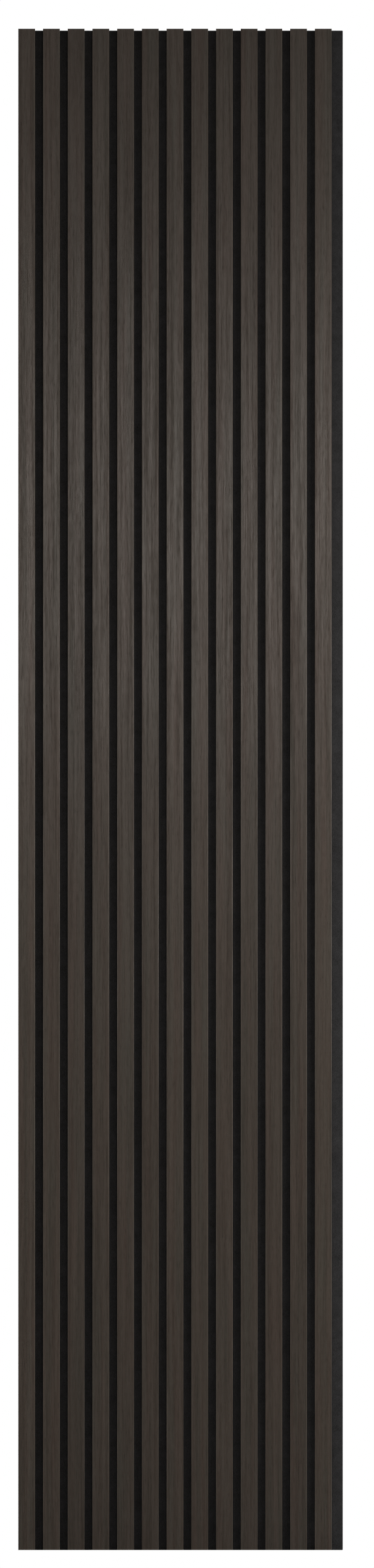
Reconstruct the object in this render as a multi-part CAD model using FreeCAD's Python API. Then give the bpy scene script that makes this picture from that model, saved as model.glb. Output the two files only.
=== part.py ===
# Acoustic slat wall panel: veneered slats stapled through a felt board from behind.
# Millimetres. The origin is the middle of the back face, +Z runs up the wall, the slats face -Y.
import FreeCAD
import Part
import os

# Slats: fibreboard bars with a wood veneer folded over the front and both sides
slat_count = 13
slat_width = 27.0
slat_gap = 12.6
slat_thickness = 12.0
slat_length = 2440.0
veneer_thickness = 0.6
core_edge_radius = 0.4

# Felt board: flush with the slats on the left and at the bottom
felt_thickness = 9.0
right_strip = 17.8
felt_top_setback = 3.0

# Staples: flat wire, in level rows behind every slat
staple_rows = 6
staple_end_margin = 60.0
staple_crown = 5.7
wire_width = 1.25
wire_thickness = 1.0
staple_point = 0.8
staple_sink = 0.3
staple_tip_cover = 4.1

# Sizes that follow from those above
slat_pitch = slat_width + slat_gap
core_width = slat_width - 2 * veneer_thickness
core_thickness = slat_thickness - veneer_thickness
veneer_edge_radius = core_edge_radius + veneer_thickness
panel_width = slat_count * slat_width + (slat_count - 1) * slat_gap + right_strip

# Places that follow from them
panel_left = -panel_width / 2
panel_bottom = -slat_length / 2
felt_back = 0.0
felt_front = felt_back - felt_thickness
core_front = felt_front - core_thickness
crown_back = felt_back - staple_sink
crown_front = crown_back - wire_thickness
staple_tip = core_front + staple_tip_cover


def slat_centre(index):
    """X of the middle of a slat, counted from the left."""
    return panel_left + slat_width / 2 + index * slat_pitch


def row_height(row):
    """Z of a row of staples, counted from the bottom."""
    span = slat_length - 2 * staple_end_margin
    return panel_bottom + staple_end_margin + row * span / (staple_rows - 1)


def eased_bar(centre_x, width, thickness, radius):
    """Upright bar on the front of the felt, with its two long front edges rounded."""
    front = felt_front - thickness
    corner = FreeCAD.Vector(centre_x - width / 2, front, panel_bottom)
    bar = Part.makeBox(width, thickness, slat_length, corner)
    side_faces = [face for face in bar.Faces if abs(face.normalAt(0, 0).x) > 0.5]
    side_edges = [edge for face in side_faces for edge in face.Edges]
    upright_edges = [edge for edge in side_edges if edge.BoundBox.ZLength > slat_length / 2]
    front_edges = [edge for edge in upright_edges if edge.CenterOfMass.y < front + thickness / 2]
    return bar.makeFillet(radius, front_edges)


def staple(centre_x, centre_z, back):
    """Flat-wire staple with chisel points, its crown reaching back to the given Y."""
    half_width = staple_crown / 2
    half_inside = half_width - wire_thickness
    point_start = staple_tip + staple_point
    outline = [
        (-half_width, back),
        (half_width, back),
        (half_width, staple_tip),
        (half_inside, point_start),
        (half_inside, crown_front),
        (-half_inside, crown_front),
        (-half_inside, point_start),
        (-half_width, staple_tip),
    ]
    bottom = centre_z - wire_width / 2
    corners = [FreeCAD.Vector(centre_x + x, y, bottom) for x, y in outline]
    face = Part.Face(Part.makePolygon(corners + corners[:1]))
    return face.extrude(FreeCAD.Vector(0, 0, wire_width))


def staples_of_slat(index, back):
    """One staple for every row, behind the middle of a slat."""
    return [staple(slat_centre(index), row_height(row), back) for row in range(staple_rows)]


def felt_board(cuts):
    """Felt board with the cuts that the staples press into it."""
    corner = FreeCAD.Vector(panel_left, felt_front, panel_bottom)
    board = Part.makeBox(panel_width, felt_thickness, slat_length - felt_top_setback, corner)
    return board.cut(cuts)


nodes = {}
all_staples = []
staple_cuts = []
for index in range(slat_count):
    number = f"{index + 1:02d}"
    centre_x = slat_centre(index)
    wrapped_bar = eased_bar(centre_x, slat_width, slat_thickness, veneer_edge_radius)
    core_bar = eased_bar(centre_x, core_width, core_thickness, core_edge_radius)
    slat_staples = staples_of_slat(index, crown_back)
    nodes[f"slat_veneer_{number}"] = wrapped_bar.cut(core_bar)
    nodes[f"slat_core_{number}"] = core_bar.cut(slat_staples)
    all_staples += slat_staples
    staple_cuts += staples_of_slat(index, felt_back)
nodes["felt_backing"] = felt_board(staple_cuts)
nodes["staples"] = Part.makeCompound(all_staples)

os.makedirs("parts", exist_ok=True)
for name, shape in nodes.items():
    shape.exportStep(f"parts/{name}.step")
    print(name, len(shape.Solids), round(shape.Volume, 1))
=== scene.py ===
import math
import random
import bmesh
import bpy
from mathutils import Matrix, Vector, noise


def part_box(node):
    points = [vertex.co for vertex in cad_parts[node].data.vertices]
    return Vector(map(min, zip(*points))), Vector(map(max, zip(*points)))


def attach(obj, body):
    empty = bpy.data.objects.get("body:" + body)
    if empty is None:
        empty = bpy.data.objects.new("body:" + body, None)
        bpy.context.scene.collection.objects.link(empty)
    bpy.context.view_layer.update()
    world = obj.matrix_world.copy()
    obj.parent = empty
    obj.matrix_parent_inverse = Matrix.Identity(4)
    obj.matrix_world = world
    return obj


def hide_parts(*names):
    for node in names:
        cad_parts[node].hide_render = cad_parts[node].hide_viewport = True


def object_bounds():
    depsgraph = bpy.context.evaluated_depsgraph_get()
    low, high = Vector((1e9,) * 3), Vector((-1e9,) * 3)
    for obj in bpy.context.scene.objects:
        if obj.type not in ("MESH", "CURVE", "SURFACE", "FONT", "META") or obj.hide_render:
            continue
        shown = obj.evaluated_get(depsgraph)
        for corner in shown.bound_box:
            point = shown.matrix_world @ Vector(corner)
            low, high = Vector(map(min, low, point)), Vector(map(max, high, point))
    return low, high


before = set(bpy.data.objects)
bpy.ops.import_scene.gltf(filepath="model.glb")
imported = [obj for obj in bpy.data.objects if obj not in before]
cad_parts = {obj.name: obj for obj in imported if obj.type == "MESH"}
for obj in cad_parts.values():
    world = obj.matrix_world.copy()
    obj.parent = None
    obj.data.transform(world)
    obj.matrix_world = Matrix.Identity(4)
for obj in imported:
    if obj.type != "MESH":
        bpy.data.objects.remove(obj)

cadLow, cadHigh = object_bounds()
scene = bpy.context.scene
slatNumbers = [name[-2:] for name in sorted(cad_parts) if name.startswith("slat_veneer_")]
slatBoxes = [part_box("slat_veneer_" + number) for number in slatNumbers]
slatCentres = [(low.x + high.x) / 2 for low, high in slatBoxes]
slatWidth = slatBoxes[0][1].x - slatBoxes[0][0].x
slatPitch = slatCentres[1] - slatCentres[0]
slatFront = slatBoxes[0][0].y
alongAxis = 0.9  # a unit direction with this much of an axis lies along it
print("frame loaded:", len(slatNumbers), "slats at a pitch of", round(slatPitch * 1000, 2), "mm")


def deselectAll():
    if bpy.context.mode != "OBJECT":
        bpy.ops.object.mode_set(mode="OBJECT")
    bpy.ops.object.select_all(action="DESELECT")


def pickOnly(piece):
    deselectAll()
    piece.select_set(True)
    bpy.context.view_layer.objects.active = piece


def addBlock(name, low, high):
    deselectAll()
    bpy.ops.mesh.primitive_cube_add(size=1, location=(low + high) / 2)
    block = bpy.context.object
    block.name = name
    block.data.name = name
    block.scale = high - low
    bpy.ops.object.transform_apply(location=True, rotation=True, scale=True)
    return block


def selectParts(piece, kind, test):
    # picks edges, faces or vertices of the piece in edit mode by their place
    bpy.ops.mesh.select_mode(type=kind)
    bpy.ops.mesh.select_all(action="DESELECT")
    mesh = bmesh.from_edit_mesh(piece.data)
    parts = {"VERT": mesh.verts, "EDGE": mesh.edges, "FACE": mesh.faces}[kind]
    for part in parts:
        if test(part):
            part.select_set(True)
    mesh.select_flush_mode()
    bmesh.update_edit_mesh(piece.data)


def edgeMiddle(edge):
    return (edge.verts[0].co + edge.verts[1].co) / 2


def isUpright(edge):
    run = (edge.verts[1].co - edge.verts[0].co).normalized()
    return abs(run.z) > alongAxis


def cutAcross(axis, distance):
    # cuts the piece in edit mode by a plane square to the axis
    bpy.ops.mesh.select_all(action="SELECT")
    bpy.ops.mesh.bisect(plane_co=Vector(axis) * distance, plane_no=axis)


def applyModifier(piece, kind, **values):
    pickOnly(piece)
    modifier = piece.modifiers.new(kind.lower(), kind)
    for name, value in values.items():
        setattr(modifier, name, value)
    bpy.ops.object.modifier_apply(modifier=modifier.name)


def smoothByAngle(piece, degrees):
    pickOnly(piece)
    bpy.ops.object.shade_smooth_by_angle(angle=math.radians(degrees))


def coverWith(piece, material):
    piece.data.materials.clear()
    piece.data.materials.append(material)


def standFor(piece, node, material):
    coverWith(piece, material)
    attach(piece, "root")
    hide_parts(node)


def feed(tree, node, inputs):
    # an input takes a value or the socket that feeds it
    for key, value in inputs.items():
        socket = node.inputs[key]
        if isinstance(value, bpy.types.NodeSocket):
            tree.links.new(value, socket)
        else:
            socket.default_value = value


def place(tree, kind, inputs, **settings):
    made = tree.nodes.new(kind)
    for name, value in settings.items():
        setattr(made, name, value)
    feed(tree, made, inputs)
    return made


def maths(tree, operation, first, second=0.0, third=0.0):
    made = place(tree, "ShaderNodeMath", {0: first, 1: second, 2: third}, operation=operation)
    return made.outputs[0]


def blendColours(tree, amount, first, second, how="MIX"):
    # a Mix node keeps its colours in sockets 6 and 7 and gives one in socket 2
    made = place(tree, "ShaderNodeMix", {0: amount, 6: first, 7: second},
                 data_type="RGBA", blend_type=how)
    return made.outputs[2]


def rangeTo(tree, value, fromLow, fromHigh, toLow=0.0, toHigh=1.0, curve="LINEAR"):
    made = place(tree, "ShaderNodeMapRange",
                 {0: value, 1: fromLow, 2: fromHigh, 3: toLow, 4: toHigh},
                 interpolation_type=curve, clamp=True)
    return made.outputs[0]


def bumpFrom(tree, height, look):
    made = place(tree, "ShaderNodeBump",
                 {"Strength": look["bumpStrength"], "Distance": look["bumpDepth"], "Height": height})
    return made.outputs[0]


def objectSpot(tree):
    return place(tree, "ShaderNodeTexCoord", {}).outputs["Object"]


def objectAxes(tree):
    split = place(tree, "ShaderNodeSeparateXYZ", {0: objectSpot(tree)})
    return split.outputs[0], split.outputs[1], split.outputs[2]


def newMaterial(name):
    material = bpy.data.materials.new(name)
    material.use_nodes = True
    tree = material.node_tree
    return material, tree, tree.nodes["Principled BSDF"]


def newGroup(name, inputs, outputs):
    group = bpy.data.node_groups.new(name, "ShaderNodeTree")
    for label, kind in inputs:
        group.interface.new_socket(name=label, in_out="INPUT", socket_type=kind)
    for label, kind in outputs:
        group.interface.new_socket(name=label, in_out="OUTPUT", socket_type=kind)
    source = group.nodes.new("NodeGroupInput")
    sink = group.nodes.new("NodeGroupOutput")
    return group, source, sink


streakNoise = {"Scale": 1.0, "Detail": 2.0, "Roughness": 0.55}


def streakGroup():
    # long soft streaks: Width across and Length along, in metres
    names = ("Across", "Along", "Seed", "Width", "Length", "Contrast")
    group, source, sink = newGroup(
        "streaks", [(name, "NodeSocketFloat") for name in names], [("Value", "NodeSocketFloat")])
    across = maths(group, "DIVIDE", source.outputs["Across"], source.outputs["Width"])
    along = maths(group, "DIVIDE", source.outputs["Along"], source.outputs["Length"])
    spot = place(group, "ShaderNodeCombineXYZ", {0: across, 1: source.outputs["Seed"], 2: along})
    cloud = place(group, "ShaderNodeTexNoise", {"Vector": spot.outputs[0], **streakNoise})
    centred = maths(group, "SUBTRACT", cloud.outputs[0], 0.5)
    value = maths(group, "MULTIPLY_ADD", centred, source.outputs["Contrast"], 0.5)
    clamped = place(group, "ShaderNodeClamp", {0: value})
    group.links.new(clamped.outputs[0], sink.inputs["Value"])
    return group


fibreMat = {
    "turns": ((10, 12, 20), (-25, 71, -15), (30, 133, 5)),  # degrees about x, y and z
    "strandLength": 9.0,  # in widths
    "strandNoise": {"Detail": 2.0, "Roughness": 0.6, "Distortion": 0.5},
    "strandRange": (0.44, 0.72),  # noise where a strand begins and where it is full
    "clumpScale": 0.035,  # share of the strands' scale
    "clumpNoise": {"Detail": 5.0, "Roughness": 0.65},
    "clumpRange": (0.3, 0.7),
}


def fibreGroup():
    # matted short fibres that lie every way and curl a little, about Size metres across
    group, source, sink = newGroup(
        "mattedFibres",
        [("Vector", "NodeSocketVector"), ("Size", "NodeSocketFloat")],
        [("Fibre", "NodeSocketFloat"), ("Mottle", "NodeSocketFloat")])
    spot = source.outputs["Vector"]
    scale = maths(group, "DIVIDE", 1.0, source.outputs["Size"])
    stretch = (fibreMat["strandLength"], 1, 1)
    fibre = 0.0
    for turn in fibreMat["turns"]:
        lie = [math.radians(degrees) for degrees in turn]
        laid = place(group, "ShaderNodeMapping", {"Vector": spot, "Rotation": lie, "Scale": stretch},
                     vector_type="TEXTURE")
        strand = place(group, "ShaderNodeTexNoise",
                       {"Vector": laid.outputs[0], "Scale": scale, **fibreMat["strandNoise"]})
        shown = rangeTo(group, strand.outputs[0], *fibreMat["strandRange"])
        fibre = maths(group, "MAXIMUM", fibre, shown)
    wide = maths(group, "MULTIPLY", scale, fibreMat["clumpScale"])
    clumps = place(group, "ShaderNodeTexNoise",
                   {"Vector": spot, "Scale": wide, **fibreMat["clumpNoise"]})
    mottle = rangeTo(group, clumps.outputs[0], *fibreMat["clumpRange"])
    group.links.new(fibre, sink.inputs["Fibre"])
    group.links.new(mottle, sink.inputs["Mottle"])
    return group


streaks = streakGroup()
mattedFibres = fibreGroup()


def layStreaks(tree, across, along, seed, lay):
    made = place(tree, "ShaderNodeGroup",
                 {"Across": across, "Along": along, "Seed": seed,
                  "Width": lay["width"], "Length": lay["length"], "Contrast": lay["contrast"]},
                 node_tree=streaks)
    return made.outputs["Value"]


def layFibres(tree, size):
    made = place(tree, "ShaderNodeGroup", {"Vector": objectSpot(tree), "Size": size},
                 node_tree=mattedFibres)
    return made.outputs["Fibre"], made.outputs["Mottle"]


veneerFinish = {
    "darkGrain": (0.0262, 0.0202, 0.0156, 1),
    "midGrain": (0.0362, 0.0285, 0.0224, 1),
    "paleGrain": (0.0468, 0.0374, 0.0299, 1),
    "darkStop": 0.22,  # where the three colours stand in the mixed grain
    "midStop": 0.5,
    "paleStop": 0.80,
    "streaks": {  # width across and length along the slat in metres
        "bands": {"width": 0.0080, "length": 0.9, "contrast": 1.9},
        "grain": {"width": 0.0031, "length": 0.22, "contrast": 2.2},
        "flecks": {"width": 0.0022, "length": 0.021, "contrast": 2.2},
        "fibre": {"width": 0.0007, "length": 0.05, "contrast": 2.2},
        "pores": {"width": 0.0004, "length": 0.014, "contrast": 2.6},
    },
    "shares": {"bands": 0.24, "grain": 0.35, "flecks": 0.23, "fibre": 0.18},  # of the mixed grain
    "hue": {"width": 0.011, "length": 0.35, "contrast": 2.2},
    "hueSeed": 3.7,  # keeps the hue apart from the grain
    "redder": (1.07, 0.975, 0.95, 1),  # tints that patches of each slat drift between
    "greener": (0.94, 1.015, 1.0, 1),
    "slatTone": 0.10,  # how far one slat differs from the next
    "seedStep": 166.375,  # sets one slat's grain and tone apart from the next
    "wanderRate": 2.1,  # how fast the grain lines wander along the slat, per metre
    "wanderReach": 0.004,
    "wanderNoise": {"Scale": 1.0, "Detail": 1.0},
    "poreRange": (0.72, 0.92),
    "poreColour": (0.008, 0.006, 0.004, 1),
    "poreShade": 0.55,
    "poreRoughness": 0.2,  # added to the grain's
    # pale front edges of the slats: partly wear, partly a painted highlight where the rounded edges
    # catch light
    "wearHighlightColour": (0.12, 0.105, 0.085, 1),
    "edgeWearHighlight": 0.45,
    "edgeReach": 0.0014,
    "wearHighlightGrain": (0.2, 0.8, 0.5, 1.0),  # the pale edge, wear and painted highlight together, is half as strong on the dark grain as on the pale
    "specular": 0.11,
    "glossRange": (0.3, 0.7),  # mixed grain between which dull turns to satin
    "dullGrain": 0.40,  # roughness of the dark and the pale grain
    "satinGrain": 0.26,
    "lacquer": 0.11,  # coat on the palest grain; it sinks away into the dark grain
    "lacquerRoughness": 0.28,
    "grainHeight": 0.4,  # beside the fibre's 1
    "poreHeight": -0.8,
    "bumpStrength": 0.6,
    "bumpDepth": 0.00006,
}


def grainColour(tree, mixed):
    look = veneerFinish
    ramp = place(tree, "ShaderNodeValToRGB", {0: mixed})
    stops = ramp.color_ramp.elements
    stops[0].position, stops[0].color = look["darkStop"], look["darkGrain"]
    stops[1].position, stops[1].color = look["paleStop"], look["paleGrain"]
    stops.new(look["midStop"]).color = look["midGrain"]
    return ramp.outputs[0]


def frontEdges(tree, slatShare, y, reach):
    # 1 on the two front edges of each slat, falling to 0 within the reach
    inSlat = maths(tree, "MULTIPLY", slatShare, slatPitch)
    offCentre = maths(tree, "ABSOLUTE", maths(tree, "SUBTRACT", inSlat, slatPitch / 2))
    nearSide = rangeTo(tree, offCentre, slatWidth / 2 - reach, slatWidth / 2, curve="SMOOTHSTEP")
    nearFront = rangeTo(tree, y, slatFront, slatFront + reach, 1.0, 0.0, curve="SMOOTHSTEP")
    return maths(tree, "MULTIPLY", nearSide, nearFront)


def veneerMaterial():
    look = veneerFinish
    material, tree, shader = newMaterial("darkVeneer")
    x, y, z = objectAxes(tree)
    # each slat has a seed of its own, counted from the left
    fromLeft = maths(tree, "SUBTRACT", x, slatBoxes[0][0].x - (slatPitch - slatWidth) / 2)
    slatCount = maths(tree, "DIVIDE", fromLeft, slatPitch)
    slatIndex = maths(tree, "FLOOR", slatCount)
    slatShare = maths(tree, "SUBTRACT", slatCount, slatIndex)
    seed = maths(tree, "MULTIPLY_ADD", slatIndex, look["seedStep"], look["seedStep"])
    tone = place(tree, "ShaderNodeTexWhiteNoise", {"W": seed}, noise_dimensions="1D").outputs["Value"]
    # x + y goes on over the fold, so the grain of the sides meets the grain of the face
    drift = place(tree, "ShaderNodeTexNoise",
                  {"W": maths(tree, "MULTIPLY_ADD", z, look["wanderRate"], seed), **look["wanderNoise"]},
                  noise_dimensions="1D")
    wander = maths(tree, "MULTIPLY_ADD", drift.outputs[0], look["wanderReach"], maths(tree, "ADD", x, y))
    hue = layStreaks(tree, wander, z, maths(tree, "ADD", seed, look["hueSeed"]), look["hue"])
    layers = {name: layStreaks(tree, wander, z, seed, lay) for name, lay in look["streaks"].items()}
    mixed = 0.0
    for name, share in look["shares"].items():
        mixed = maths(tree, "MULTIPLY_ADD", layers[name], share, mixed)
    poreMask = rangeTo(tree, layers["pores"], *look["poreRange"])

    tint = blendColours(tree, hue, look["redder"], look["greener"])
    colour = blendColours(tree, 1.0, grainColour(tree, mixed), tint, "MULTIPLY")
    bright = rangeTo(tree, tone, 0.0, 1.0, 1 - look["slatTone"], 1 + look["slatTone"])
    shade = place(tree, "ShaderNodeCombineColor", {0: bright, 1: bright, 2: bright})
    colour = blendColours(tree, 1.0, colour, shade.outputs[0], "MULTIPLY")
    inPores = maths(tree, "MULTIPLY", poreMask, look["poreShade"])
    colour = blendColours(tree, inPores, colour, look["poreColour"])
    # the pale front edges: wear, with a painted highlight along the rounded edges
    wearHighlight = maths(tree, "MULTIPLY", frontEdges(tree, slatShare, y, look["edgeReach"]), look["edgeWearHighlight"])
    wearHighlight = maths(tree, "MULTIPLY", wearHighlight, rangeTo(tree, layers["grain"], *look["wearHighlightGrain"]))
    colour = blendColours(tree, wearHighlight, colour, look["wearHighlightColour"])

    rough = rangeTo(tree, mixed, *look["glossRange"], look["dullGrain"], look["satinGrain"])
    height = maths(tree, "MULTIPLY_ADD", layers["grain"], look["grainHeight"], layers["fibre"])
    height = maths(tree, "MULTIPLY_ADD", poreMask, look["poreHeight"], height)
    feed(tree, shader, {
        "Base Color": colour,
        "Roughness": maths(tree, "MULTIPLY_ADD", poreMask, look["poreRoughness"], rough),
        "Specular IOR Level": look["specular"],
        "Coat Weight": rangeTo(tree, mixed, *look["glossRange"], 0.0, look["lacquer"]),
        "Coat Roughness": look["lacquerRoughness"],
        "Normal": bumpFrom(tree, height, look),
    })
    return material


feltFinish = {
    "deepFibre": (0.0102, 0.0100, 0.0098, 1),
    "topFibre": (0.0406, 0.0404, 0.0416, 1),
    "fibreSize": 0.0006,
    "fibreShare": 0.65,  # of the step from deep to top
    "mottleShare": 0.35,
    "roughness": 0.95,
    "specular": 0.04,
    "sheen": 0.06,
    "sheenRoughness": 0.6,
    "mottleHeight": 0.5,  # beside the fibre's 1
    "bumpStrength": 0.7,
    "bumpDepth": 0.0004,
}


def feltMaterial():
    look = feltFinish
    material, tree, shader = newMaterial("blackFelt")
    fibre, mottle = layFibres(tree, look["fibreSize"])
    amount = maths(tree, "MULTIPLY", fibre, look["fibreShare"])
    amount = maths(tree, "MULTIPLY_ADD", mottle, look["mottleShare"], amount)
    height = maths(tree, "MULTIPLY_ADD", mottle, look["mottleHeight"], fibre)
    feed(tree, shader, {
        "Base Color": blendColours(tree, amount, look["deepFibre"], look["topFibre"]),
        "Roughness": look["roughness"],
        "Specular IOR Level": look["specular"],
        "Sheen Weight": look["sheen"],
        "Sheen Roughness": look["sheenRoughness"],
        "Normal": bumpFrom(tree, height, look),
    })
    return material


coreFinish = {
    "darkChip": (0.17, 0.105, 0.058, 1),
    "paleChip": (0.42, 0.29, 0.175, 1),
    "chipSize": 0.0009,
    "saw": {"width": 0.0016, "length": 0.03, "contrast": 2.0},  # marks of the blade
    "fibreShare": 0.55,  # of the step from dark to pale
    "mottleShare": 0.25,
    "sawShare": 0.2,
    "roughness": 0.88,
    "specular": 0.2,
    "bumpStrength": 0.5,
    "bumpDepth": 0.00015,
}


def coreMaterial():
    look = coreFinish
    material, tree, shader = newMaterial("sawnFibreboard")
    fibre, mottle = layFibres(tree, look["chipSize"])
    x, y, z = objectAxes(tree)
    saw = layStreaks(tree, x, y, z, look["saw"])
    amount = maths(tree, "MULTIPLY", fibre, look["fibreShare"])
    amount = maths(tree, "MULTIPLY_ADD", mottle, look["mottleShare"], amount)
    amount = maths(tree, "MULTIPLY_ADD", saw, look["sawShare"], amount)
    feed(tree, shader, {
        "Base Color": blendColours(tree, amount, look["darkChip"], look["paleChip"]),
        "Roughness": look["roughness"],
        "Specular IOR Level": look["specular"],
        "Normal": bumpFrom(tree, amount, look),
    })
    return material


wireFinish = {
    "bright": (0.50, 0.50, 0.49, 1),
    "dull": (0.27, 0.275, 0.28, 1),
    "brightRoughness": 0.32,
    "dullRoughness": 0.5,
    "drawn": {"width": 0.00025, "length": 0.004, "contrast": 2.2},  # marks of the die
}


def wireMaterial():
    look = wireFinish
    material, tree, shader = newMaterial("galvanisedWire")
    x, y, z = objectAxes(tree)
    drawn = layStreaks(tree, z, x, y, look["drawn"])
    feed(tree, shader, {
        "Base Color": blendColours(tree, drawn, look["dull"], look["bright"]),
        "Metallic": 1.0,
        "Roughness": rangeTo(tree, drawn, 0.0, 1.0, look["dullRoughness"], look["brightRoughness"]),
    })
    return material


darkVeneer = veneerMaterial()
blackFelt = feltMaterial()
sawnFibreboard = coreMaterial()
galvanisedWire = wireMaterial()
print("materials made")

veneerWrap = {
    "edgeRadius": 0.0010,
    "edgeSteps": 5,
    "sheet": 0.0006,
    "smoothDegrees": 35,
}


def modelVeneer(number):
    # a bar with eased front edges, opened at the back and ends, then given the sheet's thickness
    low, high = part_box("slat_veneer_" + number)
    wrap = addBlock("veneerWrap_" + number, low, high)
    near = veneerWrap["sheet"] / 4
    bpy.ops.object.mode_set(mode="EDIT")
    selectParts(wrap, "EDGE", lambda edge: isUpright(edge) and edgeMiddle(edge).y < low.y + near)
    bpy.ops.mesh.bevel(offset=veneerWrap["edgeRadius"], segments=veneerWrap["edgeSteps"], affect="EDGES")
    selectParts(wrap, "FACE", lambda face: face.normal.y > alongAxis or abs(face.normal.z) > alongAxis)
    bpy.ops.mesh.delete(type="FACE")
    bpy.ops.object.mode_set(mode="OBJECT")
    applyModifier(wrap, "SOLIDIFY", thickness=veneerWrap["sheet"], offset=-1, use_even_offset=True)
    smoothByAngle(wrap, veneerWrap["smoothDegrees"])
    applyModifier(wrap, "WEIGHTED_NORMAL", keep_sharp=True)
    standFor(wrap, "slat_veneer_" + number, darkVeneer)


for number in slatNumbers:
    modelVeneer(number)
print("veneers wrapped:", len(slatNumbers))

for number in slatNumbers:
    coverWith(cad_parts["slat_core_" + number], sawnFibreboard)
print("cores finished")

stapleWire = {
    "rows": 6,
    "crown": 0.0057,
    "wireWidth": 0.00125,
    "wireThickness": 0.0010,
    "point": 0.0008,
    "bend": 0.0009,  # outside radius of the two shoulders
    "bendSteps": 4,
    "ease": 0.00010,
    "easeDegrees": 40,  # edges sharper than this are eased
    "smoothDegrees": 35,
    "skewDegrees": 2.0,
    "skewSeed": 11,
}


def stapleRowHeights():
    low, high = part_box("staples")
    first = low.z + stapleWire["wireWidth"] / 2
    last = high.z - stapleWire["wireWidth"] / 2
    return [first + (last - first) * row / (stapleWire["rows"] - 1) for row in range(stapleWire["rows"])]


def modelStaple():
    # the crown as a bar, its two ends drawn out into legs, then pointed, bent and eased
    low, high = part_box("staples")
    half = stapleWire["crown"] / 2
    inside = half - stapleWire["wireThickness"]
    crownFront = high.y - stapleWire["wireThickness"]
    deep = stapleWire["wireWidth"] / 2
    near = stapleWire["ease"] / 2
    wire = addBlock("stapleWire", Vector((-half, crownFront, -deep)), Vector((half, high.y, deep)))
    bpy.ops.object.mode_set(mode="EDIT")
    for side in (-1, 1):
        cutAcross((1, 0, 0), side * inside)
    selectParts(wire, "FACE", lambda face: face.normal.y < -alongAxis
                and abs(face.calc_center_median().x) > inside)
    bpy.ops.mesh.extrude_region_move(TRANSFORM_OT_translate={"value": (0, low.y - crownFront, 0)})
    selectParts(wire, "VERT", lambda vert: vert.co.y < low.y + near and abs(vert.co.x) < inside + near)
    bpy.ops.transform.translate(value=(0, stapleWire["point"], 0))
    selectParts(wire, "EDGE", lambda edge: edgeMiddle(edge).y > high.y - near
                and abs(edgeMiddle(edge).x) > half - near and isUpright(edge))
    bpy.ops.mesh.bevel(offset=stapleWire["bend"], segments=stapleWire["bendSteps"], affect="EDGES")
    bpy.ops.mesh.select_all(action="DESELECT")
    bpy.ops.mesh.edges_select_sharp(sharpness=math.radians(stapleWire["easeDegrees"]))
    bpy.ops.mesh.bevel(offset=stapleWire["ease"], segments=1, affect="EDGES")
    bpy.ops.object.mode_set(mode="OBJECT")
    return wire


def layStaples():
    # one staple behind each slat in every row, each driven a little askew
    chance = random.Random(stapleWire["skewSeed"])
    template = modelStaple()
    copies = []
    for centre in slatCentres:
        for height in stapleRowHeights():
            copy = template.copy()
            copy.data = template.data.copy()
            scene.collection.objects.link(copy)
            copy.location = (centre, 0, height)
            copy.rotation_euler.y = math.radians(chance.uniform(-1, 1) * stapleWire["skewDegrees"])
            copies.append(copy)
    bpy.data.objects.remove(template)
    pickOnly(copies[0])
    for copy in copies:
        copy.select_set(True)
    bpy.ops.object.join()
    rows = bpy.context.object
    bpy.ops.object.transform_apply(location=True, rotation=True, scale=True)
    rows.name = "stapleRows"
    rows.data.name = "stapleRows"
    smoothByAngle(rows, stapleWire["smoothDegrees"])
    standFor(rows, "staples", galvanisedWire)


layStaples()
print("staples laid:", len(slatCentres) * stapleWire["rows"])

feltBoard = {
    "softEdge": 0.0011,  # rounding of the cut edges
    "edgeSteps": 3,
    "dimpleDepth": 0.0010,  # how far a staple pulls the back in
    "dimpleReach": 0.0045,
    "dimpleLines": (0.0, 0.0018, 0.0036, 0.0058, 0.0088, 0.013),  # grid out from a staple
    "plainStep": 0.05,  # grid between the staples
    "waviness": 0.00012,
    "waveLength": 0.06,
    "smoothDegrees": 50,
}


def gridLines(low, high, centres):
    # lines close together round each centre and spread out between them
    lines = set()
    for centre in centres:
        for reach in feltBoard["dimpleLines"]:
            lines.update((centre - reach, centre + reach))
    ordered = sorted(lines)
    for start, end in zip([low] + ordered, ordered + [high]):
        extra = int((end - start) / feltBoard["plainStep"])
        lines.update(start + (end - start) * (k + 1) / (extra + 1) for k in range(extra))
    margin = feltBoard["softEdge"] * 2
    return [line for line in sorted(lines) if low + margin < line < high - margin]


def dimple(point, rowHeights):
    # how far the nearest staple draws in a point of the back
    acrossGap = min(abs(point.x - centre) for centre in slatCentres)
    alongGap = min(abs(point.z - height) for height in rowHeights)
    crownReach = max(0.0, acrossGap - stapleWire["crown"] / 2)
    gap = math.hypot(crownReach, alongGap) / feltBoard["dimpleReach"]
    return feltBoard["dimpleDepth"] * math.exp(-gap * gap)


def modelFelt():
    # a soft-edged board, cut into a grid that is fine at the staples, then waved and dimpled
    low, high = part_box("felt_backing")
    board = addBlock("feltBoard", low, high)
    rowHeights = stapleRowHeights()
    bpy.ops.object.mode_set(mode="EDIT")
    bpy.ops.mesh.select_all(action="SELECT")
    bpy.ops.mesh.bevel(offset=feltBoard["softEdge"], segments=feltBoard["edgeSteps"], affect="EDGES")
    for line in gridLines(low.x, high.x, slatCentres):
        cutAcross((1, 0, 0), line)
    for line in gridLines(low.z, high.z, rowHeights):
        cutAcross((0, 0, 1), line)
    bpy.ops.object.mode_set(mode="OBJECT")
    near = feltBoard["softEdge"] / 4
    for vertex in board.data.vertices:
        wave = abs(noise.noise(vertex.co / feltBoard["waveLength"])) * feltBoard["waviness"]
        if vertex.co.y > high.y - near:
            vertex.co.y -= wave + dimple(vertex.co, rowHeights)
        elif vertex.co.y < low.y + near:
            vertex.co.y += wave
    smoothByAngle(board, feltBoard["smoothDegrees"])
    standFor(board, "felt_backing", blackFelt)
    return board


felt = modelFelt()
print("felt modelled:", len(felt.data.polygons), "faces")

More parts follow.
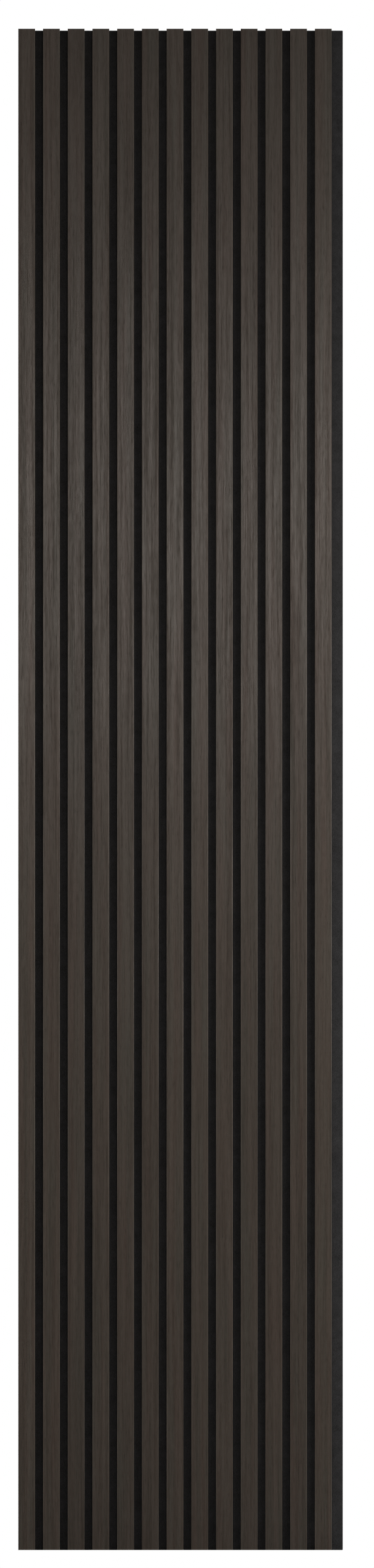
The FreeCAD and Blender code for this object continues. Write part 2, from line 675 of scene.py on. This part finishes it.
photoFrame = {  # pixels, apart from the last two
    "width": 610,
    "height": 2560,
    "panelLeft": 30.0,
    "panelRight": 558.9,
    "panelTop": 46.9,
    "panelBottom": 2530.7,
    "standOff": 6.0,  # metres from the panel to the camera
    "sight": 50,  # metres that the camera sees
}


def setCamera():
    # straight in front, with the panel where it stands in the photo
    shot = photoFrame
    middle = (cadLow + cadHigh) / 2
    metresPerPixel = (cadHigh.z - cadLow.z) / (shot["panelBottom"] - shot["panelTop"])
    right = (shot["width"] - shot["panelLeft"] - shot["panelRight"]) / 2 * metresPerPixel
    up = (shot["panelTop"] + shot["panelBottom"] - shot["height"]) / 2 * metresPerPixel
    lens = bpy.data.cameras.new("camera")
    lens.type = "ORTHO"
    lens.ortho_scale = shot["height"] * metresPerPixel
    lens.clip_end = shot["sight"]
    camera = bpy.data.objects.new("camera", lens)
    camera.location = (middle.x + right, cadLow.y - shot["standOff"], middle.z + up)
    camera.rotation_euler = (math.radians(90), 0, 0)
    scene.collection.objects.link(camera)
    scene.camera = camera


setCamera()

studio = {
    "ambient": 0.020,  # light from all round
    "ambientTint": (0.97, 0.985, 1.0, 1),
    "backdrop": (1, 1, 1, 1),
    "floorTone": (0.82, 0.82, 0.82, 1),
    "floorRoughness": 0.9,
    "floorGlow": 0.75,  # share of the floor's paleness that needs no lamp
    "glowTone": (0.93, 0.93, 0.93, 1),
    "floorReach": 24,
}

warmTint = (1.0, 0.93, 0.88)
plainTint = (1.0, 0.99, 0.98)
softboxes = {  # size is width by height; every lamp stays unseen by the camera
    "sheenBox": {"spot": (0.10, -2.7, 0.42), "aim": (0.10, 0, 0.42), "size": (1.1, 0.5),
                 "power": 17.5, "tint": warmTint},
    "nearBox": {"spot": (1.3, -1.3, 0.05), "aim": (0, 0, 0.05), "size": (0.8, 0.8),
                "power": 11, "tint": plainTint},
    "rightBox": {"spot": (1.9, -1.05, -0.05), "aim": (0, 0, -0.05), "size": (0.8, 0.8),
                 "power": 25, "tint": plainTint},
    "leftBox": {"spot": (-1.9, -1.05, -0.20), "aim": (0, 0, -0.20), "size": (0.8, 0.8),
                "power": 13.5, "tint": plainTint},
    "backBox": {"spot": (0.7, 1.6, 2.3), "aim": (0, 0, 0.2), "size": (1.4, 1.4),
                "power": 80, "tint": plainTint},
}


def addSoftbox(name, box):
    lamp = bpy.data.lights.new(name, "AREA")
    lamp.shape = "RECTANGLE"
    lamp.size, lamp.size_y = box["size"]
    lamp.energy = box["power"]
    lamp.color = box["tint"]
    holder = bpy.data.objects.new(name, lamp)
    holder.location = box["spot"]
    sight = Vector(box["aim"]) - Vector(box["spot"])
    holder.rotation_euler = sight.to_track_quat("-Z", "Y").to_euler()
    holder.visible_camera = False
    scene.collection.objects.link(holder)


def seenRays(tree):
    # rays that see a surface directly, mirrored or through glass
    path = place(tree, "ShaderNodeLightPath", {})
    seen = maths(tree, "MAXIMUM", path.outputs["Is Camera Ray"], path.outputs["Is Glossy Ray"])
    return maths(tree, "MAXIMUM", seen, path.outputs["Is Transmission Ray"])


def mixShaders(tree, amount, first, second):
    made = place(tree, "ShaderNodeMixShader", {0: amount, 1: first.outputs[0], 2: second.outputs[0]})
    return made.outputs[0]


def floorMaterial():
    # pale paint that keeps the shadow; seen directly, most of its paleness is its own
    material, tree, shader = newMaterial("floorPaint")
    feed(tree, shader, {"Base Color": studio["floorTone"], "Roughness": studio["floorRoughness"]})
    share = maths(tree, "MULTIPLY", seenRays(tree), studio["floorGlow"])
    pale = place(tree, "ShaderNodeEmission", {"Color": studio["glowTone"], "Strength": 1.0})
    feed(tree, tree.nodes["Material Output"], {"Surface": mixShaders(tree, share, shader, pale)})
    return material


def setWorld():
    # a plain backdrop to look at, and a faint light from all round for the panel
    world = bpy.data.worlds.new("studio")
    scene.world = world
    world.use_nodes = True
    tree = world.node_tree
    tree.nodes.clear()
    soft = place(tree, "ShaderNodeBackground",
                 {"Color": studio["ambientTint"], "Strength": studio["ambient"]})
    white = place(tree, "ShaderNodeBackground", {"Color": studio["backdrop"], "Strength": 1.0})
    place(tree, "ShaderNodeOutputWorld", {"Surface": mixShaders(tree, seenRays(tree), soft, white)})


def layFloor():
    deselectAll()
    bpy.ops.mesh.primitive_plane_add(size=studio["floorReach"], location=(0, 0, cadLow.z))
    floor = bpy.context.object
    floor.name = "floor"
    floor.data.materials.append(floorMaterial())


for name, box in softboxes.items():
    addSoftbox(name, box)
setWorld()
layFloor()
scene.view_settings.view_transform = "Standard"
print("camera and studio set")
